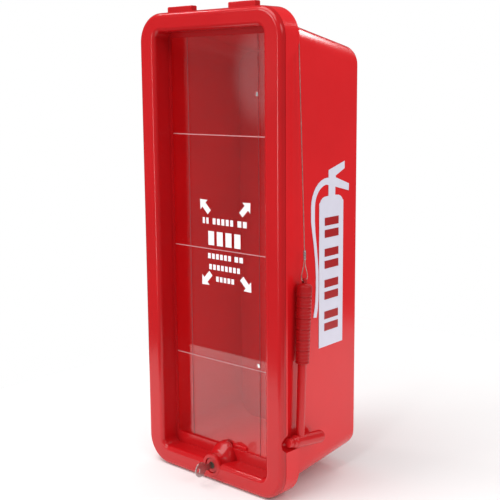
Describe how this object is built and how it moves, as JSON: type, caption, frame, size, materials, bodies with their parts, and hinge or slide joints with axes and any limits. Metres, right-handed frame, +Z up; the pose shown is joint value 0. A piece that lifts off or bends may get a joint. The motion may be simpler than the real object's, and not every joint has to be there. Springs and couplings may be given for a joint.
{
  "type": "fire extinguisher wall cabinet",
  "caption": "Red moulded wall cabinet for a fire extinguisher, with a top-hinged door, a clear scored break panel, a cam lock with its key and a breaker hammer on a steel wire.",
  "frame": {"origin": "On the wall plane, at the middle of the cabinet's width and half way up its door outline, so the wall is y = 0 and the cabinet stands out of it towards -Y.", "axes": "+Z is up. -Y is the front, the side with the door. +X is to the right as seen from the front, the side with the hammer."},
  "size_m": [0.256, 0.206, 0.617],
  "materials": {
    "red_plastic": "smooth moulded ABS, semi-gloss",
    "clear_panel": "clear styrene sheet with scored break lines",
    "steel": "zinc and nickel plated steel",
    "white_vinyl": "matt vinyl film"
  },
  "bodies": {
    "cabinet": {"cabinet_body": "red_plastic", "hinge_pin_left": "steel", "hinge_pin_right": "steel", "strike_bracket": "red_plastic", "strike_rivet_1": "steel", "strike_rivet_2": "steel", "side_decal": "white_vinyl", "tether_anchor": "steel"},
    "door": {"door_frame": "red_plastic", "break_panel": "clear_panel", "lock_barrel": "red_plastic", "lock_nut": "steel", "panel_screw_1": "steel", "panel_screw_2": "steel", "panel_screw_3": "steel", "panel_screw_4": "steel", "panel_screw_5": "steel", "panel_screw_6": "steel", "panel_screw_7": "steel", "panel_screw_8": "steel"},
    "lock_plug": {"lock_plug": "steel", "lock_cam": "red_plastic", "cam_screw": "steel"},
    "key": {"key": "steel"},
    "tether": {"tether_wire": "steel", "tether_ferrule": "steel", "tether_loop": "steel"},
    "hammer": {"hammer_grip": "red_plastic", "hammer_shaft": "red_plastic", "hammer_head": "red_plastic"}
  },
  "joints": [
    {"name": "door_hinge", "type": "hinge", "parent": "cabinet", "child": "door", "pos_m": [0, -0.1615, 0.3045], "axis": [-1, 0, 0], "range_deg": [0, 105]},
    {"name": "lock_turn", "type": "hinge", "parent": "door", "child": "lock_plug", "pos_m": [0, -0.176, -0.2838], "axis": [0, 1, 0], "range_deg": [0, 90]},
    {"name": "key_slide", "type": "slide", "parent": "lock_plug", "child": "key", "axis": [0, -1, 0], "range_m": [0, 0.03]},
    {"name": "wire_swing", "type": "hinge", "parent": "cabinet", "child": "tether", "pos_m": [0.116, -0.1424, 0.283], "axis": [0, -1, 0], "range_deg": [0, 70]},
    {"name": "hammer_swing", "type": "hinge", "parent": "tether", "child": "hammer", "pos_m": [0.1235, -0.1335, -0.0255], "axis": [0, -1, 0], "range_deg": [0, 100]}
  ]
}
